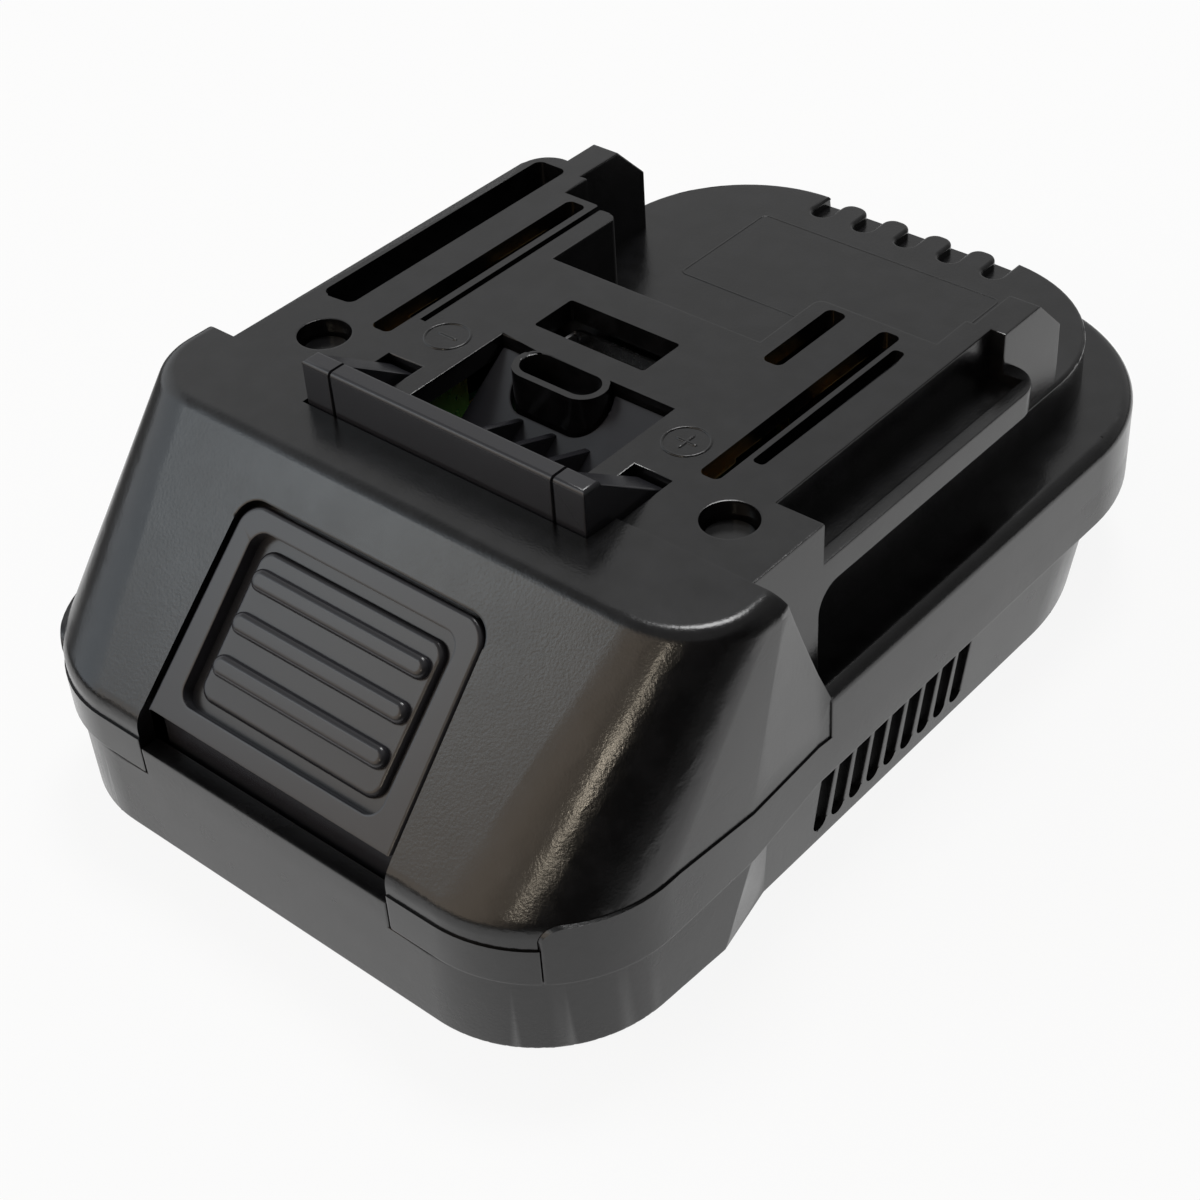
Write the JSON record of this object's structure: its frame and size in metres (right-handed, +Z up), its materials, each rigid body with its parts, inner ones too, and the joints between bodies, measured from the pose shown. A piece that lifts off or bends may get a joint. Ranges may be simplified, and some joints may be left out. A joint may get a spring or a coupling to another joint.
{
  "type": "power tool battery adapter",
  "caption": "Sloped-nose adapter that carries a slide-on battery below and fits a power tool's rails above, with a push-button latch and a small power socket in its deck.",
  "frame": {"origin": "middle of the underside's bounding rectangle", "axes": "+Y from the sloping nose towards the rounded rear, the way the tool's rails run; +Z up through the deck; +X to the right when facing +Y"},
  "size_m": [0.0776, 0.1146, 0.0436],
  "materials": {
    "case_upper": "fine satin texture",
    "case_lower": "fine satin texture",
    "latch_plastic": "smooth satin",
    "plug_plastic": "satin",
    "screw_steel": "zinc plated",
    "spring_steel": "drawn wire",
    "board_laminate": "solder mask, satin",
    "terminal_brass": "stamped",
    "socket_steel": "plated",
    "tongue_plastic": "moulded",
    "contact_gold": "gold plated",
    "chip_epoxy": "moulded epoxy",
    "inductor_ferrite": "ferrite, dull",
    "capacitor_sleeve": "bare can",
    "block_plastic": "moulded",
    "blade_brass": "stamped",
    "wire_red": "insulation",
    "wire_black": "insulation",
    "wire_white": "insulation"
  },
  "bodies": {
    "housing": {"top_cover": "case_upper", "lower_case": "case_lower", "latch_spring_left": "spring_steel", "latch_spring_right": "spring_steel", "screw_plugs": "plug_plastic", "deck_screws": "screw_steel", "rear_screws": "screw_steel", "main_board": "board_laminate", "board_screws": "screw_steel", "tool_terminal_negative": "terminal_brass", "tool_terminal_positive": "terminal_brass", "signal_contact": "terminal_brass", "usb_shell": "socket_steel", "usb_tongue": "tongue_plastic", "usb_contacts": "contact_gold", "converter_inductor": "inductor_ferrite", "filter_capacitor": "capacitor_sleeve", "converter_chip": "chip_epoxy", "battery_block": "block_plastic", "battery_blade_positive": "blade_brass", "battery_blade_negative": "blade_brass", "battery_signal_blades": "blade_brass", "wire_positive": "wire_red", "wire_negative": "wire_black", "signal_wires": "wire_white"},
    "latch": {"latch_slider": "latch_plastic"}
  },
  "joints": [
    {"name": "latch_press", "type": "slide", "parent": "housing", "child": "latch", "axis": [0, 0, -1], "range_m": [0, 0.0042], "stiffness_N_per_m": 700, "springref_m": -0.004, "deforming": ["latch_spring_left", "latch_spring_right"]}
  ]
}
